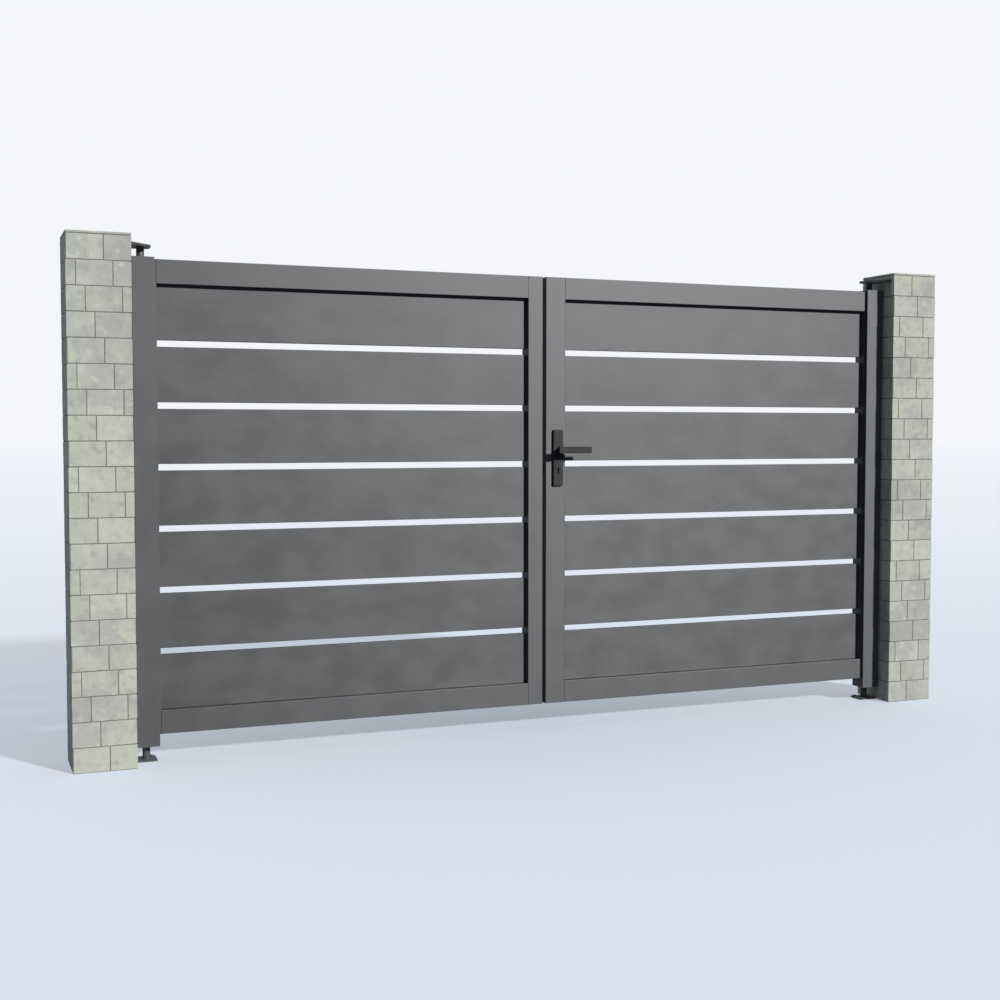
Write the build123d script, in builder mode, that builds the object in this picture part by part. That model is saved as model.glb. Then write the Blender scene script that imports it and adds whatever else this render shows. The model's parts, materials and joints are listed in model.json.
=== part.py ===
from build123d import *
from collections import namedtuple
import os

# Double swing driveway gate: two plank-filled metal leaves on pivot pins between stone pillars.
# The origin is the middle of the left pillar's base. X runs along the gate to the right pillar,
# Y runs from the street to the drive, and Z is up from the ground.

# Pillars and opening
opening = 3030.0  # clear width between the pillars
pillar_width = 207.0
pillar_depth = 207.0
pillar_cover = 25.0  # stone above the top bracket

# Leaf frames
ground_gap = 94.0  # ground to the underside of the bottom rail
leaf_setback = 74.0  # pillar front to the front of the rails
frame_depth = 60.0
rail_height = 81.5
rail_wall = 3.0
frame_corner = 2.0  # outside radius of the frame tubes
left_meeting_width = 58.5
right_meeting_width = 79.5
leaf_gap = 13.0  # between the two meeting stiles

# Planks
plank_count = 7
plank_height = 186.5
plank_slot = 22.0  # open slot between two planks
plank_thickness = 20.0
plank_wall = 1.8
plank_corner = 1.5

# Hinge stiles
stile_width = 73.0
stile_proud = 11.0  # how far the stile stands in front of the rails
stile_wall = 4.0
heel_radius = 10.0  # back corner that passes the pillar as the leaf opens
stile_flat = 7.0  # strip on the stile's inner side that takes the rails and planks
stile_drop = 39.0  # below the underside of the bottom rail
stile_rise = 5.5  # above the top of the top rail
stile_gap = 9.0  # stile to pillar
bearing_block = 25.0  # solid plug welded into each end of the stile

# Pivots
pin_offset = 42.0  # pillar face to the pin's axis
pin_from_back = 22.5  # pin's axis to the back of the stile
pin_diameter = 26.0
spigot_diameter = 18.0
spigot_length = 30.0
spigot_chamfer = 2.0
pin_clearance = 0.3  # round the spigot and under the shoulder

# Top brackets and ground plates
bracket_rise = 39.0  # top of the top rail to the underside of the bracket
bracket_thickness = 8.0
bracket_reach = 74.0  # from the pillar face
bracket_root_front = 95.0  # at the pillar, in front of the pin's axis
bracket_root_back = 35.0  # at the pillar, behind the pin's axis
bracket_tip_half = 25.0  # at the tip, either side of the pin's axis
bracket_corner = 8.0
tang_length = 80.0  # set into the pillar
tang_width = 60.0
ground_plate_reach = 76.0
ground_plate_front = 26.0  # in front of the pin's axis
ground_plate_back = 44.0  # behind the pin's axis
ground_plate_thickness = 6.0
ground_plate_corner = 5.0

# Lock and handle
handle_backset = 47.0  # meeting edge of the right leaf to the spindle
handle_height = 957.0  # underside of the bottom rail to the spindle
key_spacing = 72.0  # spindle to the keyhole's round end
handle_plate_width = 40.0
handle_plate_above = 75.0  # spindle to the top of the plate
handle_plate_below = 135.0  # spindle to the foot of the plate
handle_plate_thickness = 10.0
handle_plate_corner = 4.0
handle_plate_edge = 1.5
neck_diameter = 18.0
neck_clearance = 0.3
neck_seat = 1.0  # neck's end to the stile's face
lever_standoff = 39.0  # plate's face to the back of the lever
lever_length = 133.0
lever_overhang = 18.0  # lever's blunt end beyond the spindle
lever_height = 24.0
lever_thickness = 12.0
lever_corner = 4.0
lever_edge = 2.0
spindle_side = 8.0
spindle_hole = 22.0  # through the stile's walls
follower_hole = 12.0  # through the lock case
key_head = 9.0
key_slot_width = 4.5
key_slot_length = 17.0  # from the middle of the round end
lock_case_height = 165.0
lock_case_thickness = 14.0
lock_case_length = 60.0  # from the meeting edge
lock_case_below = 105.0  # spindle to the foot of the case
faceplate_width = 22.0
strike_thickness = 2.0
strike_corner = 3.0
latch_hole = (14.0, 22.0)
bolt_hole = (14.0, 40.0)

# Worked-out levels and planes
infill_height = plank_count * plank_height + (plank_count - 1) * plank_slot
leaf_height = 2 * rail_height + infill_height
leaf_bottom = ground_gap
leaf_top = leaf_bottom + leaf_height
frame_front = leaf_setback - pillar_depth / 2
frame_back = frame_front + frame_depth
frame_middle = (frame_front + frame_back) / 2
stile_front = frame_front - stile_proud
stile_depth = frame_depth + stile_proud
stile_bottom = leaf_bottom - stile_drop
stile_top = leaf_top + stile_rise
pin_y = frame_back - pin_from_back
bracket_bottom = leaf_top + bracket_rise
pillar_height = bracket_bottom + bracket_thickness + pillar_cover
meeting_total = left_meeting_width + leaf_gap + right_meeting_width
infill_start = stile_gap + stile_width + stile_flat
infill_width = (opening - meeting_total) / 2 - infill_start
spindle_z = leaf_bottom + handle_height
key_z = spindle_z - key_spacing
lock_case_middle = spindle_z - lock_case_below + lock_case_height / 2

# A side is its pillar's inner face, the way from there into the opening, and its meeting stile.
Side = namedtuple("Side", "name face inward meeting_width")
LEFT = Side("left", pillar_width / 2, 1, left_meeting_width)
RIGHT = Side("right", pillar_width / 2 + opening, -1, right_meeting_width)
SIDES = (LEFT, RIGHT)

meeting_edge = RIGHT.face + RIGHT.inward * (infill_start + infill_width + right_meeting_width)
strike_edge = LEFT.face + LEFT.inward * (infill_start + infill_width + left_meeting_width)
spindle_x = meeting_edge + handle_backset


def x_at(side, distance):
    """X of a place that lies this far into the opening from the side's pillar."""
    return side.face + side.inward * distance


def save(part, label):
    """Label a finished piece and write its STEP file."""
    part.label = label
    export_step(part, f"parts/{label}.step")


def make_pillar(side):
    """Stone pillar, with the pocket that the top bracket's tang is set into."""
    with BuildPart() as pillar:
        with BuildSketch():
            with Locations((x_at(side, -pillar_width / 2), 0)):
                Rectangle(pillar_width, pillar_depth)
        extrude(amount=pillar_height)
        with BuildSketch(Plane.XY.offset(bracket_bottom)):
            with Locations((x_at(side, -tang_length / 2), pin_y)):
                Rectangle(tang_length, tang_width)
        extrude(amount=bracket_thickness, mode=Mode.SUBTRACT)
    save(pillar.part, f"{side.name}_pillar")


def make_top_bracket(side):
    """Plate that tapers from the pillar to its tip, with a tang set into the pillar."""
    root_front = (x_at(side, 0), pin_y - bracket_root_front)
    root_back = (x_at(side, 0), pin_y + bracket_root_back)
    tip_front = (x_at(side, bracket_reach), pin_y - bracket_tip_half)
    tip_back = (x_at(side, bracket_reach), pin_y + bracket_tip_half)
    with BuildPart() as bracket:
        with BuildSketch(Plane.XY.offset(bracket_bottom)) as outline:
            with BuildLine():
                Polyline(root_front, tip_front, tip_back, root_back, close=True)
            make_face()
            tip_corners = outline.vertices().group_by(Axis.X)[-1 if side.inward > 0 else 0]
            fillet(tip_corners, bracket_corner)
            with Locations((x_at(side, -tang_length / 2), pin_y)):
                Rectangle(tang_length, tang_width)
        extrude(amount=bracket_thickness)
    save(bracket.part, f"{side.name}_top_bracket")


def make_ground_plate(side):
    """Plate on the ground that carries the bottom pin."""
    plate_depth = ground_plate_front + ground_plate_back
    plate_y = pin_y + (ground_plate_back - ground_plate_front) / 2
    with BuildPart() as plate:
        with BuildSketch() as outline:
            with Locations((x_at(side, ground_plate_reach / 2), plate_y)):
                Rectangle(ground_plate_reach, plate_depth)
            far_corners = outline.vertices().group_by(Axis.X)[-1 if side.inward > 0 else 0]
            fillet(far_corners, ground_plate_corner)
        extrude(amount=ground_plate_thickness)
    save(plate.part, f"{side.name}_ground_plate")


def make_pin(side, level, foot_z, stile_end_z, toward_stile):
    """Shouldered pin from its plate to just short of the stile, with a spigot into the stile."""
    shoulder_z = stile_end_z - toward_stile * pin_clearance
    shoulder_length = toward_stile * (shoulder_z - foot_z)
    spigot = spigot_length + pin_clearance
    axis = (x_at(side, pin_offset), pin_y)
    up = Vector(0, 0, toward_stile)
    with BuildPart() as pin:
        with BuildSketch(Plane(origin=(*axis, foot_z), x_dir=(1, 0, 0), z_dir=up)):
            Circle(pin_diameter / 2)
        extrude(amount=shoulder_length)
        with BuildSketch(Plane(origin=(*axis, shoulder_z), x_dir=(1, 0, 0), z_dir=up)):
            Circle(spigot_diameter / 2)
        extrude(amount=spigot)
        spigot_end = pin.faces().sort_by(Axis.Z)[-1 if toward_stile > 0 else 0]
        chamfer(spigot_end.edges(), spigot_chamfer)
    save(pin.part, f"{side.name}_{level}_pin")


def make_hinge_stile(side):
    """Tube with a rounded heel, a strip for the infill and a bored bearing block in each end."""
    middle = (x_at(side, stile_gap + stile_width / 2), (stile_front + frame_back) / 2)
    heel = (x_at(side, stile_gap), frame_back)
    stile_length = stile_top - stile_bottom
    with BuildPart() as stile:
        with BuildSketch(Plane.XY.offset(stile_bottom)) as section:
            with Locations(middle):
                Rectangle(stile_width, stile_depth)
            corners = section.vertices().sort_by_distance((*heel, stile_bottom))
            fillet(corners[0], heel_radius)
            fillet(corners[1:], frame_corner)
        extrude(amount=stile_length)
        with BuildSketch(Plane.XY.offset(stile_bottom + bearing_block)):
            with Locations(middle):
                RectangleRounded(
                    stile_width - 2 * stile_wall,
                    stile_depth - 2 * stile_wall,
                    heel_radius - stile_wall,
                )
        extrude(amount=stile_length - 2 * bearing_block, mode=Mode.SUBTRACT)
        with BuildSketch(Plane.XY.offset(leaf_bottom)):
            with Locations((x_at(side, infill_start - stile_flat / 2), frame_middle)):
                Rectangle(stile_flat, frame_depth - 2 * frame_corner)
        extrude(amount=leaf_height)
        with BuildSketch(Plane.XY.offset(stile_bottom)):
            with Locations((x_at(side, pin_offset), pin_y)):
                Circle(spigot_diameter / 2 + pin_clearance)
        extrude(amount=stile_length, mode=Mode.SUBTRACT)
    save(stile.part, f"{side.name}_hinge_stile")


def make_rail(side, level, bottom_z):
    """Tube between the two stiles of a leaf."""
    start = min(x_at(side, infill_start), x_at(side, infill_start + infill_width))
    with BuildPart() as rail:
        with BuildSketch(Plane.YZ.offset(start)):
            with Locations((frame_middle, bottom_z + rail_height / 2)):
                RectangleRounded(frame_depth, rail_height, frame_corner)
                Rectangle(frame_depth - 2 * rail_wall, rail_height - 2 * rail_wall, mode=Mode.SUBTRACT)
        extrude(amount=infill_width)
    save(rail.part, f"{side.name}_{level}_rail")


def make_plank(side, number):
    """Hollow plank between the stiles, midway through the frame, counted from the top."""
    start = min(x_at(side, infill_start), x_at(side, infill_start + infill_width))
    top_z = leaf_top - rail_height - (number - 1) * (plank_height + plank_slot)
    with BuildPart() as plank:
        with BuildSketch(Plane.YZ.offset(start)):
            with Locations((frame_middle, top_z - plank_height / 2)):
                RectangleRounded(plank_thickness, plank_height, plank_corner)
                Rectangle(
                    plank_thickness - 2 * plank_wall,
                    plank_height - 2 * plank_wall,
                    mode=Mode.SUBTRACT,
                )
        extrude(amount=infill_width)
    save(plank.part, f"{side.name}_plank_{number}")


def keyhole_sketch():
    """Round-headed keyhole about the key's place, drawn on the gate's X and Z."""
    with Locations((spindle_x, key_z)):
        Circle(key_head / 2)
    with Locations((spindle_x, key_z - key_slot_length / 2)):
        Rectangle(key_slot_width, key_slot_length)


def street_plane(y):
    """Upright plane across the gate at this Y, drawn on X and Z, facing the street."""
    return Plane(origin=(0, y, 0), x_dir=(1, 0, 0), z_dir=(0, -1, 0))


def make_meeting_stile(side):
    """Closed tube at the middle of the gate. The left one takes the strike, the right one the lock."""
    middle_x = x_at(side, infill_start + infill_width + side.meeting_width / 2)
    with BuildPart() as stile:
        with BuildSketch(Plane.XY.offset(leaf_bottom)):
            with Locations((middle_x, frame_middle)):
                RectangleRounded(side.meeting_width, frame_depth, frame_corner)
        extrude(amount=leaf_height)
        with BuildSketch(Plane.XY.offset(leaf_bottom + rail_wall)):
            with Locations((middle_x, frame_middle)):
                Rectangle(side.meeting_width - 2 * rail_wall, frame_depth - 2 * rail_wall)
        extrude(amount=leaf_height - 2 * rail_wall, mode=Mode.SUBTRACT)
        if side is RIGHT:
            with BuildSketch(street_plane(frame_back)):
                with Locations((spindle_x, spindle_z)):
                    Circle(spindle_hole / 2)
                keyhole_sketch()
            extrude(amount=frame_depth, mode=Mode.SUBTRACT)
            with BuildSketch(Plane.YZ.offset(meeting_edge)):
                with Locations((frame_middle, lock_case_middle)):
                    RectangleRounded(faceplate_width, lock_case_height, strike_corner)
            extrude(amount=rail_wall, mode=Mode.SUBTRACT)
        else:
            with BuildSketch(Plane.YZ.offset(strike_edge - rail_wall)):
                strike_holes(Mode.ADD)
            extrude(amount=rail_wall, mode=Mode.SUBTRACT)
    save(stile.part, f"{side.name}_meeting_stile")


def strike_holes(mode):
    """Latch and bolt holes, drawn on the meeting edge's Y and Z."""
    with Locations((frame_middle, spindle_z)):
        Rectangle(*latch_hole, mode=mode)
    with Locations((frame_middle, key_z)):
        Rectangle(*bolt_hole, mode=mode)


def make_strike():
    """Plate on the left leaf's meeting edge, with holes for the latch and the bolt."""
    with BuildPart() as strike:
        with BuildSketch(Plane.YZ.offset(strike_edge)):
            with Locations((frame_middle, lock_case_middle)):
                RectangleRounded(faceplate_width, lock_case_height, strike_corner)
            strike_holes(Mode.SUBTRACT)
        extrude(amount=strike_thickness)
    save(strike.part, "strike_plate")


def make_lock_case():
    """Mortise lock: a case inside the stile behind a faceplate flush with the meeting edge."""
    case_start = meeting_edge + rail_wall
    with BuildPart() as case:
        with BuildSketch(Plane.YZ.offset(meeting_edge)):
            with Locations((frame_middle, lock_case_middle)):
                RectangleRounded(faceplate_width, lock_case_height, strike_corner)
        extrude(amount=rail_wall)
        with BuildSketch(Plane.YZ.offset(case_start)):
            with Locations((frame_middle, lock_case_middle)):
                Rectangle(lock_case_thickness, lock_case_height - 2 * strike_corner)
        extrude(amount=lock_case_length - rail_wall)
        with BuildSketch(street_plane(frame_back)):
            with Locations((spindle_x, spindle_z)):
                Circle(follower_hole / 2)
        extrude(amount=frame_depth, mode=Mode.SUBTRACT)
    save(case.part, "lock_case")


def make_handle_plate(label, seat_y, outward):
    """Long plate with a bore for the lever's neck and a keyhole."""
    plate_height = handle_plate_above + handle_plate_below
    plate_middle = spindle_z + (handle_plate_above - handle_plate_below) / 2
    with BuildPart() as plate:
        with BuildSketch(street_plane(seat_y)):
            with Locations((spindle_x, plate_middle)):
                RectangleRounded(handle_plate_width, plate_height, handle_plate_corner)
        extrude(amount=-outward * handle_plate_thickness)
        outer_face = plate.faces().sort_by(Axis.Y)[-1 if outward > 0 else 0]
        chamfer(outer_face.outer_wire().edges(), handle_plate_edge)
        with BuildSketch(street_plane(seat_y)):
            with Locations((spindle_x, spindle_z)):
                Circle(neck_diameter / 2 + neck_clearance)
            keyhole_sketch()
        extrude(amount=-outward * handle_plate_thickness, mode=Mode.SUBTRACT)
    save(plate.part, label)


def make_lever(label, seat_y, outward):
    """Straight flat lever on a round neck, pointing from the spindle into the leaf."""
    neck_y = seat_y + outward * neck_seat
    lever_y = seat_y + outward * (handle_plate_thickness + lever_standoff)
    lever_middle = spindle_x - lever_overhang + lever_length / 2
    with BuildPart() as lever:
        with BuildSketch(street_plane(lever_y)):
            with Locations((lever_middle, spindle_z)):
                RectangleRounded(lever_length, lever_height, lever_corner)
        extrude(amount=-outward * lever_thickness)
        outer_face = lever.faces().sort_by(Axis.Y)[-1 if outward > 0 else 0]
        chamfer(outer_face.edges(), lever_edge)
        with BuildSketch(street_plane(neck_y)):
            with Locations((spindle_x, spindle_z)):
                Circle(neck_diameter / 2)
        extrude(amount=neck_y - lever_y)
    save(lever.part, label)


def make_spindle():
    """Square bar through the lock case, from one lever's neck to the other's."""
    spindle_length = frame_depth + 2 * neck_seat
    with BuildPart() as spindle:
        with BuildSketch(street_plane(frame_back + neck_seat)):
            with Locations((spindle_x, spindle_z)):
                Rectangle(spindle_side, spindle_side)
        extrude(amount=spindle_length)
    save(spindle.part, "spindle")


os.makedirs("parts", exist_ok=True)

for gate_side in SIDES:
    make_pillar(gate_side)
    make_top_bracket(gate_side)
    make_ground_plate(gate_side)
    make_pin(gate_side, "top", bracket_bottom, stile_top, -1)
    make_pin(gate_side, "bottom", ground_plate_thickness, stile_bottom, 1)
    make_hinge_stile(gate_side)
    make_rail(gate_side, "top", leaf_top - rail_height)
    make_rail(gate_side, "bottom", leaf_bottom)
    make_meeting_stile(gate_side)
    for plank_number in range(1, plank_count + 1):
        make_plank(gate_side, plank_number)

make_strike()
make_lock_case()
make_handle_plate("front_handle_plate", frame_front, -1)
make_handle_plate("back_handle_plate", frame_back, 1)
make_lever("front_lever", frame_front, -1)
make_lever("back_lever", frame_back, 1)
make_spindle()
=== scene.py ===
"""Looks of a double swing driveway gate: stone pillars, plank leaves, pivot pins and a lever lock.

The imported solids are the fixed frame. The pillars are dressed in coursed stone, the fixings that the
solids leave out are added, and every solid that stays gets its finish here.
"""

import json
import logging
import math
from dataclasses import dataclass
from enum import Enum
from typing import Any, ClassVar

import bmesh
import bpy
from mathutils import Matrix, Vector

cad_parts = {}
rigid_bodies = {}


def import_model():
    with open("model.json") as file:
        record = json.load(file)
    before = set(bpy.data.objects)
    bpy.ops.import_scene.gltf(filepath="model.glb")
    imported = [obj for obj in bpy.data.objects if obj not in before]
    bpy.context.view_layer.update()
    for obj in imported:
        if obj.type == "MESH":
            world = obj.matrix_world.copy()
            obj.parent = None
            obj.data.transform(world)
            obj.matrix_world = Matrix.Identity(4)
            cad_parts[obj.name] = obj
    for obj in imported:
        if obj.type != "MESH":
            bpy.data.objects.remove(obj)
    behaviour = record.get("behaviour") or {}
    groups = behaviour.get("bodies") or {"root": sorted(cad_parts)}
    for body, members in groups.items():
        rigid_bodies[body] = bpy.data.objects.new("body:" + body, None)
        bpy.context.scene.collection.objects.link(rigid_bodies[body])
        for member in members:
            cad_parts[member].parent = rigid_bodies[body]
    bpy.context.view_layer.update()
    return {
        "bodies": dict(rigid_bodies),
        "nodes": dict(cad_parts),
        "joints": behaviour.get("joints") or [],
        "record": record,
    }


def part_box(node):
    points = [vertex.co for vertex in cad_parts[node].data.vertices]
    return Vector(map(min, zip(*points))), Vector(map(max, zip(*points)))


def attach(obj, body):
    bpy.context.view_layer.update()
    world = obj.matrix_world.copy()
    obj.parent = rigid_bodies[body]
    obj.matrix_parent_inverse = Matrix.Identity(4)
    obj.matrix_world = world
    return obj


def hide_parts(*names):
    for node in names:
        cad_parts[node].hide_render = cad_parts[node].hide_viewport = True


log = logging.getLogger("gate")

Colour = tuple[float, float, float]
Point = tuple[float, float, float]
Range = tuple[float, float]

# Attribute with each stone's own tone from 0 to 1
STONE_TONE = "stone_tone"
# Edges of the stones that turn further than this stay crisp
CORNER_ANGLE = math.radians(18.0)
# Turn of a coat's drawn highlight
UPRIGHT = 0.25
# Cells on a stone's face, and how far its inner rows are spread
STONE_CELLS = {"X": 6, "Z": 3}
STONE_SPREAD = {"X": 1.5, "Z": 1.0}
# Width of a stone's rounded edge and the sink of its inner ring, in arrises
ARRIS_WIDTH, ARRIS_RING = 1.4, 0.22
# Corners of one stone that lie closer than this are one, in metres
MERGE = 0.00005
# Sides of a screw head, and the way down into its socket in head heights
HEAD_SIDES, SOCKET_DEPTH = 12, -0.8
# Steps of a weld bead round its pin, and sides of its section
BEAD_STEPS, BEAD_SIDES = 36, 8


class Body(str, Enum):
    """The bodies that pieces ride on."""

    ROOT = "root"
    LEFT_LEAF = "left_leaf"
    RIGHT_LEAF = "right_leaf"


class Side(str, Enum):
    """The two sides of the gate, seen from the street."""

    LEFT = "left"
    RIGHT = "right"


class Slot(str, Enum):
    """The record's finishes."""

    STONE = "stone"
    FRAME = "frame_coat"
    PLANK = "plank_coat"
    HARDWARE = "hardware"
    HANDLE = "handle_coat"
    LOCK = "lock_steel"


class Graph:
    """A node tree that is being filled."""

    def __init__(self, tree: bpy.types.NodeTree) -> None:
        """Keep the tree."""
        self.tree = tree

    @staticmethod
    def socket(sockets: Any, key: str | int) -> bpy.types.NodeSocket:
        """Find a socket in use.

        Args:
            sockets: The inputs or outputs of a node.
            key: The socket's name or number.

        Returns:
            The socket, by name the first one that is enabled.
        """
        if isinstance(key, int):
            return sockets[key]
        return next(s for s in sockets if s.name == key and s.enabled)

    def feed(self, socket: bpy.types.NodeSocket, value: Any) -> None:
        """Link another node's socket to this one, or set its value.

        Args:
            socket: The input.
            value: A plain value or another node's socket.
        """
        if isinstance(value, bpy.types.NodeSocket):
            self.tree.links.new(value, socket)
        else:
            socket.default_value = value

    def node(self, kind: str, inputs: dict[str | int, Any] | None = None, **settings: Any) -> bpy.types.Node:
        """Add a node.

        Args:
            kind: The node's type.
            inputs: Values or other nodes' sockets, by the input's name or number.
            settings: The node's own properties.

        Returns:
            The new node.
        """
        made = self.tree.nodes.new(kind)
        for key, value in settings.items():
            setattr(made, key, value)
        for key, value in (inputs or {}).items():
            self.feed(self.socket(made.inputs, key), value)
        return made

    def math(self, operation: str, *values: Any) -> bpy.types.NodeSocket:
        """Add a Math node and return its result."""
        return self.node("ShaderNodeMath", dict(enumerate(values)), operation=operation).outputs[0]

    def mix(self, share: Any, first: Any, second: Any) -> bpy.types.NodeSocket:
        """Mix two colours by a share and return the colour."""
        made = self.node("ShaderNodeMix", {0: share, 6: first, 7: second}, data_type="RGBA")
        return made.outputs[2]

    def span(self, value: Any, low: Any, high: Any, to_low: Any, to_high: Any) -> bpy.types.NodeSocket:
        """Map a value smoothly from one range to another and return the result."""
        inputs = {0: value, 1: low, 2: high, 3: to_low, 4: to_high}
        return self.node("ShaderNodeMapRange", inputs, interpolation_type="SMOOTHSTEP").outputs[0]

    def noise(self, scale: Any, detail: float, vector: Any, w: Any = None) -> bpy.types.NodeSocket:
        """Add a noise texture.

        Args:
            scale: Features per metre.
            detail: Octaves of finer noise.
            vector: Where it is read.
            w: A fourth coordinate that shifts the pattern.

        Returns:
            The noise value from 0 to 1.
        """
        inputs: dict[str | int, Any] = {"Scale": scale, "Detail": detail, "Vector": vector}
        if w is not None:
            inputs["W"] = w
        return self.node("ShaderNodeTexNoise", inputs, noise_dimensions="3D" if w is None else "4D").outputs[0]


def new_group(name: str, kind: str, inputs: dict[str, tuple[str, Any]], outputs: dict[str, str]) -> Graph:
    """Start a node group with named sockets.

    Args:
        name: The group's name.
        kind: ShaderNodeTree or GeometryNodeTree.
        inputs: Socket kind and default by name.
        outputs: Socket kind by name.

    Returns:
        The group, empty apart from its sockets.
    """
    tree = bpy.data.node_groups.new(name, kind)
    for label, (socket, default) in inputs.items():
        made = tree.interface.new_socket(label, in_out="INPUT", socket_type=f"NodeSocket{socket}")
        if default is not None:
            made.default_value = default
    for label, socket in outputs.items():
        tree.interface.new_socket(label, in_out="OUTPUT", socket_type=f"NodeSocket{socket}")
    return Graph(tree)


def rgba(colour: Colour) -> tuple[float, float, float, float]:
    """A linear colour with full alpha."""
    return (*colour, 1.0)


def mesh_object(name: str, mesh: bpy.types.Mesh) -> bpy.types.Object:
    """Put a mesh into the scene at the origin.

    Args:
        name: The object's name.
        mesh: Its mesh.

    Returns:
        The new object.
    """
    made = bpy.data.objects.new(name, mesh)
    bpy.context.scene.collection.objects.link(made)
    return made


def grow(name: str, graph: Graph, values: dict[str, Any], points: list[Point] | None = None) -> bpy.types.Object:
    """Run a geometry tree and keep its result as a plain mesh.

    Args:
        name: The piece's name.
        graph: The geometry tree.
        values: The tree's inputs by name.
        points: Vertices that the tree starts from.

    Returns:
        The piece, with no modifier left on it.
    """
    seed = bpy.data.meshes.new(name)
    seed.from_pydata(points or [], [], [])
    piece = mesh_object(name, seed)
    modifier = piece.modifiers.new("tree", "NODES")
    modifier.node_group = graph.tree
    for item in graph.tree.interface.items_tree:
        if item.in_out == "INPUT" and item.name in values:
            modifier[item.identifier] = values[item.name]
    evaluated = piece.evaluated_get(bpy.context.evaluated_depsgraph_get())
    mesh = bpy.data.meshes.new_from_object(evaluated)
    piece.modifiers.remove(modifier)
    piece.data = mesh
    mesh.name = name
    bpy.data.meshes.remove(seed)
    return piece


def end_tree(g: Graph, geometry: bpy.types.NodeSocket, material: bpy.types.NodeSocket) -> None:
    """End a geometry tree: make instances real, set the material and put the result out.

    Args:
        g: The tree.
        geometry: What it has made.
        material: The tree's material input.
    """
    real = g.node("GeometryNodeRealizeInstances", {"Geometry": geometry}).outputs[0]
    dressed = g.node("GeometryNodeSetMaterial", {"Geometry": real, "Material": material}).outputs[0]
    g.node("NodeGroupOutput", {"Geometry": dressed})


def seat(piece: bpy.types.Object, body: Body, slot: Slot, *nodes: str) -> None:
    """Let a finished piece ride on a body.

    Args:
        piece: The piece, in its place.
        body: The body that carries it.
        slot: Not used.
        nodes: Solids that it stands for.
    """
    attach(piece, body.value)
    if nodes:
        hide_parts(*nodes)
    log.info("%s: %d faces on %s", piece.name, len(piece.data.polygons), body.value)


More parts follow.
